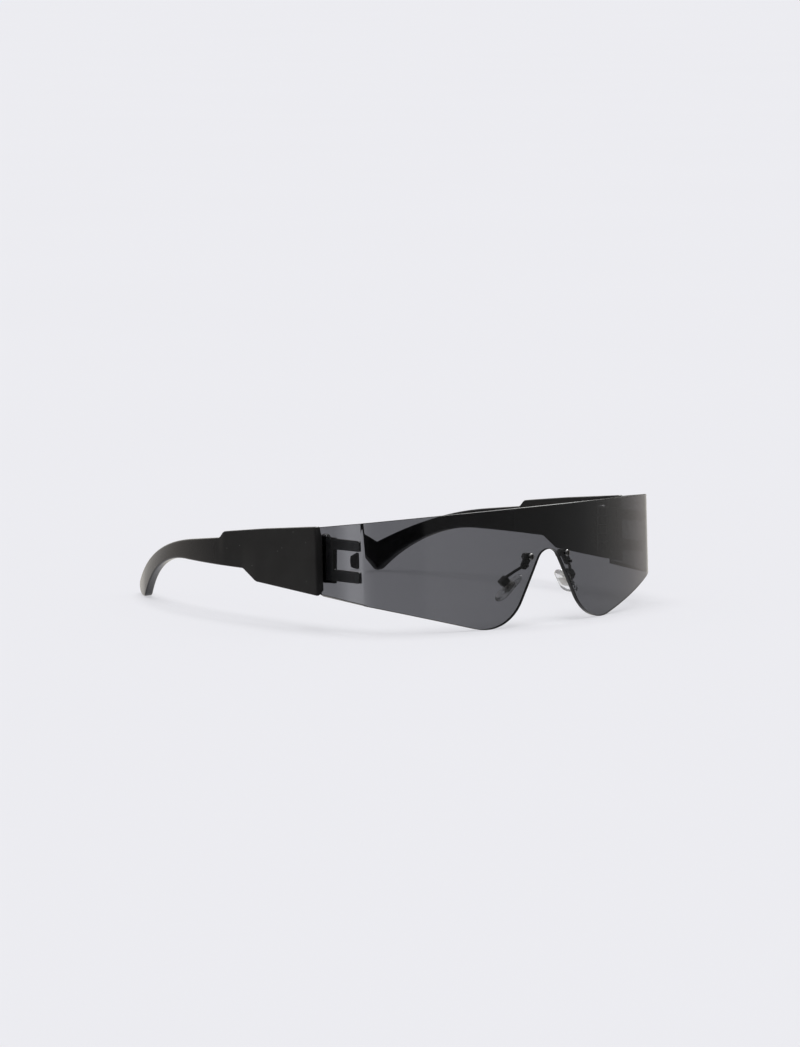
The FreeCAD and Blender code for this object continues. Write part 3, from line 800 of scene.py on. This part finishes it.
def rear_leaf_skins():
    """Leaf let into a temple, with a web from it to each of its two knuckles."""
    origin = hinge_axes()[0]
    y0 = origin[1] + REAR_LEAF_BACK
    sunk = FACE - TEMPLE_THICK + LEAF_SINK
    z0 = HINGE_LOW + LEAF_MARGIN
    z1 = HINGE_HIGH - LEAF_MARGIN
    corners = [(y0, z0), (y0 + REAR_LEAF_LENGTH, z0), (y0 + REAR_LEAF_LENGTH, z1), (y0, z1)]
    plate = slab(rounded_outline(corners, REAR_LEAF_ROUNDS), 0, LEAF_THICK, LEAF_RIM)
    skins = [placed(plate, *np.array([(sunk, 0, 0), (0, 1, 0), (-1, 0, 0), (0, 0, 1)], float))]
    web_in = origin[0] + PIN_RADIUS + WEB_START
    web_out = sunk - LEAF_THICK / 2
    for i in (1, 3):
        start, end = knuckle_span(i)
        web = np.array([(web_in, start), (web_out, start), (web_out, end), (web_in, end)])
        skins.append(slab(web, y0, origin[1] + BARREL_RADIUS, LEAF_RIM))
        skins.append(knuckle_skin(i))
    return skins


def hinge_screw_skins():
    """Pin of a hinge: a slotted head over the top knuckle and a shank through all of them."""
    seat = HINGE_HIGH + SEAT_GAP
    head = screw_head(PIN_HEAD_RADIUS, seat, seat + PIN_HEAD_HEIGHT, *PIN_SLOT)
    pin = shank(PIN_RADIUS, HINGE_LOW - PIN_TAIL, seat + HEAD_LAP)
    return [placed(skin, *hinge_axes()) for skin in (head, pin)]


def mount_axes(side, height):
    """Origin and axes of a point on the outer lens face: along the face, into the lens, up."""
    a = math.asin(MOUNT_X / LENS_RADIUS)
    ex = unit((math.cos(a), math.sin(a) * STRETCH, 0))
    ey = unit(np.cross((0, LEAN, 1), ex))
    ez = np.cross(ex, ey)
    level = np.array([MOUNT_X, MOUNT_SAG * STRETCH + APEX, LEAN_LEVEL])
    return level + ex * side + ez * (height - LEAN_LEVEL), ex, ey, ez


def pad_axes():
    """Pivot of a nose pad and its axes: across, towards the nose, up along its length."""
    ez = -unit(PAD_LONG)
    ey = np.asarray(PAD_FACE)
    ey = unit(ey - ez * (ey @ ez))
    return joint_place("left_pad_rock"), np.cross(ey, ez), ey, ez


def lens_screw_skins():
    """Screw through the lens, its bracket and its nut, with a slotted head on the outer face."""
    end = LENS_THICK + 2 * SEAT_GAP + BRACKET_THICK + NUT_THICK + SCREW_TAIL
    top = -SEAT_GAP - SCREW_HEAD_HEIGHT
    head = screw_head(SCREW_HEAD_RADIUS, -SEAT_GAP, top, *SCREW_SLOT)
    body = shank(SCREW_RADIUS, end, -HEAD_LAP)
    return [placed(skin, *mount_axes(-SCREW_SIDE, SCREW_HIGH)) for skin in (head, body)]


def lens_nut_skin():
    """Six-sided nut: its outline is the distance to the flats over the cosine off each flat."""
    t = full_turn(NUT_STEPS)
    across = NUT_FLATS / 2 / np.cos((t % (math.pi / 3)) - math.pi / 6)
    hexagon = across[:, None] * heading(t)
    y0 = LENS_THICK + 2 * SEAT_GAP + BRACKET_THICK
    bore = circle(SCREW_RADIUS + NUT_AIR, NUT_STEPS)
    nut = holed_slab(hexagon, bore, y0, y0 + NUT_THICK, NUT_RIM)
    return placed(nut, *mount_axes(-SCREW_SIDE, SCREW_HIGH))


def bent_wire_skin(first, elbow, last):
    """Round wire: a circle carried along two straight runs and the arc tangent to both."""
    one = unit(elbow - first)
    two = unit(last - elbow)
    half = math.acos(one @ two) / 2
    shorter = min(np.linalg.norm(elbow - first), np.linalg.norm(last - elbow))
    cut = WIRE_BEND_SHARE * shorter
    bend = cut / math.tan(half)
    inward = unit(two - one)
    start = elbow - one * cut
    side = unit(inward - one * (inward @ one))
    t = np.linspace(0, 2 * half, WIRE_BEND_RINGS)[:, None]
    arc = start + bend * (np.sin(t) * one + (1 - np.cos(t)) * side)
    path = np.concatenate([first[None], arc, last[None]])
    way = np.concatenate([one[None], np.cos(t) * one + np.sin(t) * side, two[None]])
    flat = unit(np.cross(one, side))
    across = np.cross(flat, way)
    s = full_turn(WIRE_STEPS)[None, :, None]
    around = np.cos(s) * across[:, None] + np.sin(s) * flat
    return shell(path[:, None] + WIRE_RADIUS * around)


def pad_box_skin():
    """Box for the pad's lug: rounded rectangles up its outside, over the mouth, to its floor."""
    mouth = BOX_DEEP / 2
    lip = mouth - BOX_LIP
    narrowed, rise = quarter_round(BOX_EDGE, BOX_EDGE_STEPS)
    inset = np.concatenate([narrowed, [0, BOX_LIP, BOX_WALL - BOX_LIP, BOX_WALL, BOX_WALL]])
    depth = np.concatenate([rise - mouth - BOX_FLOOR, [lip, mouth, mouth, lip, -mouth]])
    corner = np.maximum(BOX_CORNER - inset, BOX_CORNER_LEAST)
    x, z = rounded_rect(BOX_WIDE / 2 - inset, BOX_TALL / 2 - inset, corner)
    y = np.repeat(depth[:, None], x.shape[1], 1)
    return placed(shell(np.stack([x, y, z], -1)), *pad_axes())


def pad_arm_skins():
    """Bracket behind the lens with its peg, the bent wire, and the box at its end."""
    y0 = LENS_THICK + SEAT_GAP
    y1 = y0 + BRACKET_THICK
    screw = np.array([-SCREW_SIDE, SCREW_HIGH])
    peg = np.array([PEG_SIDE, PEG_HIGH])
    along = unit(peg - screw)
    lean = math.atan2(along[1], along[0])
    half_turn = np.linspace(-QUARTER, QUARTER, BRACKET_END_POINTS)

    def round_end(centre, facing):
        return centre + BRACKET_RADIUS * heading(half_turn + facing)

    outline = np.concatenate([round_end(peg, lean), round_end(screw, lean + math.pi)])
    skins = [placed(slab(outline, y0, y1, BRACKET_RIM), *mount_axes(0, 0))]
    root = y0 + PEG_ROOT
    pin = turned([(0, -PEG_PROUD), (PEG_RADIUS - PEG_ROUND, -PEG_PROUD),
                  (PEG_RADIUS - PEG_FACET, PEG_FACET - PEG_PROUD),
                  (PEG_RADIUS, PEG_ROUND - PEG_PROUD), (PEG_RADIUS, root), (0, root)])
    peg_axes = mount_axes(PEG_SIDE, PEG_HIGH)
    skins.append(placed(pin, *peg_axes))
    origin, ex, ey, ez = peg_axes
    first = origin + ey * (y0 + y1) / 2
    elbow = first + ex * WIRE_OUT + ey * WIRE_BACK - ez * WIRE_DOWN
    box_axes = pad_axes()
    last = box_axes[0] - box_axes[2] * (BOX_DEEP / 2 + BOX_FLOOR / 2)
    return skins + [bent_wire_skin(first, elbow, last), pad_box_skin()]


def nose_pad_skin():
    """Egg-shaped pad: its outline is two arcs and their tangents, its section a superellipse."""
    gap = PAD_LENGTH - PAD_TOP_RADIUS - PAD_LOW_RADIUS
    lean = math.asin((PAD_LOW_RADIUS - PAD_TOP_RADIUS) / gap)
    upper = np.linspace(lean, math.pi - lean, PAD_TOP_POINTS)
    lower = np.linspace(math.pi - lean, 2 * math.pi + lean, PAD_LOW_POINTS)
    top = PAD_TOP_RADIUS * heading(upper) + (0, gap / 2)
    foot = PAD_LOW_RADIUS * heading(lower) - (0, gap / 2)
    steps = np.linspace(0, 1, PAD_SIDE_POINTS)[1:-1, None]
    down = top[-1] + steps * (foot[0] - top[-1])
    back = foot[-1] + steps * (top[0] - foot[-1])
    outline = np.concatenate([top, down, foot, back])
    t = np.linspace(0, math.pi, PAD_LAYERS)
    grow = np.sin(t) ** PAD_RIM_POWER
    face = -np.sign(np.cos(t)) * np.abs(np.cos(t)) ** PAD_FACE_POWER
    y = PAD_REACH + PAD_THICK / 2 * (1 + face)
    flat = outline[None] * grow[:, None, None]
    rings = np.stack([flat[..., 0], np.repeat(y[:, None], len(outline), 1), flat[..., 1]], -1)
    return placed(shell(rings, caps=False), *pad_axes())


def pad_insert_skins():
    """Metal insert: a rounded plate inside the pad, and a lug that stands out into the box."""
    y0 = PAD_REACH + (PAD_THICK - INSERT_THICK) / 2
    x, z = rounded_rect(INSERT_WIDE / 2, INSERT_TALL / 2, INSERT_CORNER)
    plate = slab(np.stack([x[0], z[0]], -1), y0, y0 + INSERT_THICK, INSERT_RIM)
    wide = BOX_WIDE / 2 - BOX_WALL - LUG_GAP
    tall = BOX_TALL / 2 - BOX_WALL - ROCK_GAP
    x, z = rounded_rect(wide, tall, LUG_CORNER)
    lug = slab(np.stack([x[0], z[0]], -1), -tall * LUG_SHARE, y0 + INSERT_THICK / 2, INSERT_RIM)
    return [placed(plate, *pad_axes()), placed(lug, *pad_axes())]


def pad_screw_skins():
    """Cross screw through a pad box, with a slotted head on one side."""
    pivot, across, to_nose, up = pad_axes()
    half = BOX_WIDE / 2
    seat = half + SEAT_GAP
    head = screw_head(PAD_SCREW_HEAD, seat, seat + PAD_SCREW_HEAD_HEIGHT, *PAD_SCREW_SLOT)
    tail = -half - PAD_SCREW_TAIL
    body = shank(PAD_SCREW_RADIUS, tail, seat + HEAD_LAP, PAD_SCREW_CHAMFER)
    return [placed(skin, pivot, up, across, to_nose) for skin in (head, body)]


def put(node, **values):
    """Sets a node's sockets, named with _ for a space."""
    for name, value in values.items():
        node.inputs[name.replace("_", " ")].default_value = value


def larger(nodes, links, one, other):
    """The larger of two numbers."""
    node = nodes.new("ShaderNodeMath")
    node.operation = "MAXIMUM"
    links.new(one, node.inputs[0])
    links.new(other, node.inputs[1])
    return node.outputs["Value"]


class Finish:
    """A node material under construction, with Object coordinates ready for its textures."""

    def __init__(self, name):
        self.material = bpy.data.materials.new(name)
        self.material.use_nodes = True
        self.nodes = self.material.node_tree.nodes
        self.links = self.material.node_tree.links
        self.shader = self.nodes["Principled BSDF"]
        self.output = self.nodes["Material Output"]
        self.place = self.nodes.new("ShaderNodeTexCoord").outputs["Object"]

    def noise(self, scale, detail=4.0, roughness=0.5, stretch=None):
        node = self.nodes.new("ShaderNodeTexNoise")
        put(node, Scale=scale, Detail=detail, Roughness=roughness)
        place = self.place
        if stretch:
            mapping = self.nodes.new("ShaderNodeMapping")
            put(mapping, Scale=stretch)
            self.links.new(place, mapping.inputs["Vector"])
            place = mapping.outputs["Vector"]
        self.links.new(place, node.inputs["Vector"])
        return node.outputs["Fac"]

    def ramp(self, fac, *stops):
        node = self.nodes.new("ShaderNodeValToRGB")
        points = node.color_ramp.elements
        while len(points) < len(stops):
            points.new(0.5)
        for point, (at, value) in zip(points, stops):
            point.position = at
            point.color = (*np.broadcast_to(value, 3).tolist(), 1.0)
        self.links.new(fac, node.inputs["Fac"])
        return node.outputs["Color"]

    def feed(self, socket, value):
        self.links.new(value, self.shader.inputs[socket])

    def vary(self, socket, fac, first, last, ends=NOISE_ENDS):
        self.feed(socket, self.ramp(fac, *zip(ends, (first, last))))

    def bump(self, height, strength, distance):
        node = self.nodes.new("ShaderNodeBump")
        put(node, Strength=strength, Distance=distance)
        self.links.new(height, node.inputs["Height"])
        self.feed("Normal", node.outputs["Normal"])


def smoke_lens():
    """Smoke grey polycarbonate: a polished skin with faint wiping haze, an absorbing body."""
    f = Finish("smoke_lens")
    put(f.shader, Base_Color=(1, 1, 1, 1), IOR=LENS_IOR, Transmission_Weight=1.0)
    haze = f.noise(90.0, 5.0, 0.6, (1.0, 1.0, 3.0))
    f.vary("Roughness", haze, 0.0, 0.012, HAZE_ENDS)
    body = f.nodes.new("ShaderNodeVolumeAbsorption")
    put(body, Color=(*LENS_TINT, 1), Density=LENS_DENSITY)
    f.links.new(body.outputs["Volume"], f.output.inputs["Volume"])
    return f.material


def lens_edge_painted_shade():
    """Painted shade: the lens's cut edge drawn opaque and near-black, standing in for the darkness
    of the tinted body seen edge-on; satin from the cutter.
    """
    f = Finish("lens_edge_painted_shade")
    put(f.shader, IOR=LENS_IOR, Specular_IOR_Level=0.07)
    cut = f.noise(90.0, 5.0, 0.6, (1.0, 1.0, 3.0))
    f.vary("Base Color", cut, 0.0035, 0.0045, HAZE_ENDS)
    f.vary("Roughness", cut, 0.2, 0.34, HAZE_ENDS)
    return f.material


def plate_painted_light():
    """Painted light: pale grey on an end plate's face against the lens, standing in for light that
    reaches the plate through the lens; a little cloudy in tone.
    """
    f = Finish("plate_painted_light")
    put(f.shader, Specular_IOR_Level=0.2)
    cloud = f.noise(700.0, 4.0)
    f.vary("Base Color", cloud, (0.50, 0.50, 0.49), (0.58, 0.58, 0.57))
    f.vary("Roughness", cloud, 0.45, 0.6)
    return f.material


def temple_black():
    """Black moulded nylon: satin grain on the panel, polished to the tip, a few specks of dust."""
    f = Finish("temple_black")
    put(f.shader, Specular_IOR_Level=0.3)
    split = f.nodes.new("ShaderNodeSeparateXYZ")
    f.links.new(f.place, split.inputs["Vector"])
    side = f.nodes.new("ShaderNodeCombineXYZ")
    f.links.new(split.outputs["Y"], side.inputs["X"])
    f.links.new(split.outputs["Z"], side.inputs["Y"])
    dust = f.nodes.new("ShaderNodeTexVoronoi")
    dust.voronoi_dimensions = "2D"
    put(dust, Scale=DUST_SCALE)
    f.links.new(side.outputs["Vector"], dust.inputs["Vector"])
    speck = f.ramp(dust.outputs["Distance"], (SPECK_CORE, 1.0), (SPECK_RIM, 0.0))
    tone = larger(f.nodes, f.links, f.noise(160.0, 3.0), speck)
    deep = (0.0125, 0.0123, 0.0121)
    worn = (0.0165, 0.0162, 0.0158)
    dusty = (0.16, 0.155, 0.15)
    tones = ((0.3, deep), (0.7, worn), (0.85, worn), (1.0, dusty))
    f.feed("Base Color", f.ramp(tone, *tones))
    reach = f.nodes.new("ShaderNodeMapRange")
    put(reach, From_Min=POLISH_FROM, From_Max=POLISH_TO, To_Min=PANEL_ROUGHNESS,
        To_Max=TIP_ROUGHNESS)
    f.links.new(split.outputs["Y"], reach.inputs["Value"])
    f.feed("Roughness", reach.outputs["Result"])
    f.bump(f.noise(5200.0, 2.0), 0.06, 0.00002)
    return f.material


def black_metal():
    """Thin black coating on metal: near-black, semi-gloss, with slight unevenness."""
    f = Finish("black_metal")
    put(f.shader, Specular_IOR_Level=0.35)
    tone = f.noise(420.0, 3.0)
    f.vary("Base Color", tone, (0.006, 0.006, 0.006), (0.011, 0.011, 0.0112))
    f.vary("Roughness", f.noise(900.0, 3.0), 0.24, 0.38)
    f.bump(f.noise(3600.0, 2.0), 0.05, 0.00002)
    return f.material


def screw_steel():
    """Turned steel darkened by a thin coat, with fine streaks."""
    f = Finish("screw_steel")
    put(f.shader, Metallic=1.0)
    streak = f.noise(2600.0, 3.0, 0.5, (1.0, 1.0, 0.2))
    f.vary("Base Color", streak, (0.10, 0.10, 0.10), (0.16, 0.157, 0.152))
    f.vary("Roughness", streak, 0.2, 0.34)
    return f.material


def insert_metal():
    """Stamped steel, dull and slightly warm."""
    f = Finish("insert_metal")
    put(f.shader, Metallic=0.45)
    tone = f.noise(900.0, 4.0)
    f.vary("Base Color", tone, (0.58, 0.56, 0.51), (0.68, 0.66, 0.61))
    f.vary("Roughness", tone, 0.38, 0.55)
    return f.material


def pad_silicone():
    """Clear silicone with a soft skin, slightly milky."""
    f = Finish("pad_silicone")
    put(f.shader, IOR=1.41, Transmission_Weight=0.84)
    f.vary("Base Color", f.noise(300.0, 2.0), (0.93, 0.93, 0.925), (0.97, 0.97, 0.965))
    f.vary("Roughness", f.noise(700.0, 3.0), 0.04, 0.12)
    f.bump(f.noise(2500.0, 2.0), 0.04, 0.00003)
    return f.material


def by_sight(nodes, links, hidden, shown):
    """One number for what camera, mirror or clear glass show, another for light that spreads."""
    path = nodes.new("ShaderNodeLightPath")
    seen = path.outputs["Is Camera Ray"]
    for kind in ("Is Glossy Ray", "Is Transmission Ray"):
        seen = larger(nodes, links, seen, path.outputs[kind])
    level = nodes.new("ShaderNodeMapRange")
    put(level, To_Min=hidden, To_Max=shown)
    links.new(seen, level.inputs["Value"])
    return level.outputs["Result"]


def stage_floor():
    """Pale seamless floor, lit partly from below like a light table, slightly uneven in tone."""
    f = Finish("stage_floor")
    put(f.shader, Roughness=0.9, Specular_IOR_Level=0.0)
    paler = tuple(v * FLOOR_UNEVEN for v in PALE)
    pale = f.ramp(f.noise(3.0, 2.0), *zip(NOISE_ENDS, (PALE, paler)))
    matt = f.nodes.new("ShaderNodeVectorMath")
    matt.operation = "SCALE"
    f.links.new(pale, matt.inputs[0])
    f.links.new(by_sight(f.nodes, f.links, 1.0, 1.0 - FLOOR_GLOW), matt.inputs["Scale"])
    f.feed("Base Color", matt.outputs["Vector"])
    f.feed("Emission Color", pale)
    f.feed("Emission Strength", by_sight(f.nodes, f.links, 0.0, FLOOR_GLOW))
    return f.material


def studio_wall():
    """Studio walls as a polished surface mirrors them: dark ahead, pale to the right and behind."""
    f = Finish("studio_wall")
    put(f.shader, Base_Color=(0, 0, 0, 1), Specular_IOR_Level=0.0, Emission_Strength=1.0)
    around = f.nodes.new("ShaderNodeUVMap")
    around.uv_map = "around"
    split = f.nodes.new("ShaderNodeSeparateXYZ")
    f.links.new(around.outputs["UV"], split.inputs["Vector"])
    stops = [((angle + 180.0) / 360.0, colour) for angle, colour in WALL_TONES]
    f.feed("Emission Color", f.ramp(split.outputs["X"], *stops))
    return f.material


def stage_sheet(name, corners, faces, material):
    """A mesh that belongs to the stage and not to the glasses."""
    mesh = bpy.data.meshes.new(name)
    mesh.from_pydata(corners, [], faces)
    mesh.materials.append(material)
    sheet = new_object(name, mesh)
    return sheet


def build_walls():
    """A ring of wall that only mirror reflections see, mapped by the angle around the stage."""
    turn = np.linspace(-math.pi, math.pi, WALL_STEPS + 1)
    ring = np.stack([np.sin(turn), -np.cos(turn), np.zeros_like(turn)], -1) * WALL_RADIUS
    lift = np.array([0, 0, WALL_HALF_TALL])
    corners = np.concatenate([ring - lift, ring + lift])
    first = np.arange(WALL_STEPS)
    over = first + WALL_STEPS + 1
    faces = np.stack([first + 1, first, over, over + 1], -1)
    wall = stage_sheet("studio_wall", corners.tolist(), faces.tolist(), studio_wall())
    share = np.linspace(0, 1, WALL_STEPS + 1)
    along = np.stack([share[1:], share[:-1], share[:-1], share[1:]], -1)
    up = np.broadcast_to((0.0, 0.0, 1.0, 1.0), along.shape)
    around = wall.data.uv_layers.new(name="around").data
    around.foreach_set("uv", np.stack([along, up], -1).ravel())
    wall.visible_camera = False
    wall.visible_diffuse = False
    wall.visible_transmission = False
    wall.visible_shadow = False


def build_stage():
    """Floor, walls and world, a soft overhead sun, and a lamp that only puts glints on edges."""
    reach = FLOOR_HALF
    corners = [(-reach, -reach, 0), (reach, -reach, 0), (reach, reach, 0), (-reach, reach, 0)]
    floor = stage_sheet("stage_floor", corners, [(0, 1, 2, 3)], stage_floor())
    floor.visible_glossy = False
    build_walls()
    world = bpy.data.worlds.new("pale_room")
    world.use_nodes = True
    bpy.context.scene.world = world
    nodes = world.node_tree.nodes
    links = world.node_tree.links
    room = nodes["Background"]
    put(room, Color=(*PALE, 1))
    links.new(by_sight(nodes, links, WORLD_SHARE / PALE[0], 1.0), room.inputs["Strength"])
    sun = bpy.data.lights.new("overhead_softbox", "SUN")
    sun.energy = SUN_SHARE * math.pi
    sun.angle = SUN_ANGLE
    new_object("overhead_softbox", sun)
    glint = bpy.data.lights.new("side_softbox", "AREA")
    glint.size = SIDE_LAMP_SIZE
    glint.energy = SIDE_LAMP_POWER
    lamp = new_object("side_softbox", glint)
    lamp.location = Vector(SIDE_LAMP_PLACE)
    lamp.rotation_euler = lamp.location.to_track_quat("Z", "Y").to_euler()
    lamp.visible_camera = False
    lamp.visible_diffuse = False
    lamp.visible_transmission = False


def build_camera():
    """The camera, aimed at a point of the glasses from its angle and distance."""
    data = bpy.data.cameras.new("camera")
    data.sensor_fit = "VERTICAL"
    data.sensor_height = SENSOR
    data.lens = FOCAL_PIXELS / FRAME_TALL * SENSOR
    data.clip_end = CAMERA_SIGHT
    camera = new_object("camera", data)
    aim = Vector((CAMERA_AIM_X, CAMERA_AIM_BACK + APEX, CAMERA_AIM_HIGH)) * MM
    flat = math.cos(CAMERA_ELEVATION)
    back = Vector((math.sin(CAMERA_AZIMUTH) * flat, -math.cos(CAMERA_AZIMUTH) * flat,
                   math.sin(CAMERA_ELEVATION)))
    camera.location = aim + back * CAMERA_DISTANCE
    camera.rotation_euler = back.to_track_quat("Z", "Y").to_euler()
    bpy.context.scene.camera = camera


def build_glasses():
    """All pieces: the lens, then the pieces of each side."""
    lens = smoke_lens()
    edge = lens_edge_painted_shade()
    painted_light_grey = plate_painted_light()
    black = black_metal()
    plastic = temple_black()
    steel = screw_steel()
    metal = insert_metal()
    clear = pad_silicone()
    skin = lens_skin()
    # the lens's cut edges and rear ends take painted shade: opaque near-black for the tinted body
    # seen edge-on
    cut = (edge, lens_rim(len(skin[1])))
    make_piece("lens", [skin], 1.0, lens, "front", "lens_tint", "shield_lens",
               sharp=LENS_SHARP, second=cut)
    plate = end_plate_skin()
    # the end plates' faces against the lens take painted light: pale grey for light reaching them
    # through the lens
    painted_light_on_plate = (painted_light_grey, painted_light_face(len(plate[1])))
    for side, sign in SIDES:
        def add(part, skins, material, body, slot, node, second=None):
            make_piece(side + "_" + part, skins, sign, material, body, slot, side + "_" + node,
                       second=second)

        add("temple_arm", [temple_skin()], plastic, side + "_arm", "temple_black", "temple")
        add("prong_plate", [plate], black, "front", "black_metal", "end_plate", painted_light_on_plate)
        add("hinge_front", front_leaf_skins(), black, "front", "black_metal", "front_leaf")
        add("hinge_rear", rear_leaf_skins(), black, side + "_arm", "black_metal", "rear_leaf")
        add("hinge_pin", hinge_screw_skins(), steel, "front", "screw_steel", "hinge_screw")
        add("bracket_screw", lens_screw_skins(), steel, "front", "screw_steel", "lens_screw")
        add("bracket_nut", [lens_nut_skin()], steel, "front", "screw_steel", "lens_nut")
        add("pad_wire", pad_arm_skins(), black, "front", "black_metal", "pad_arm")
        add("pad", [nose_pad_skin()], clear, side + "_pad", "pad_silicone", "nose_pad")
        add("pad_core", pad_insert_skins(), metal, side + "_pad", "insert_metal", "pad_insert")
        add("pad_pin", pad_screw_skins(), steel, "front", "screw_steel", "pad_screw")


build_stage()
build_camera()
build_glasses()
bpy.context.scene.view_settings.view_transform = "Standard"
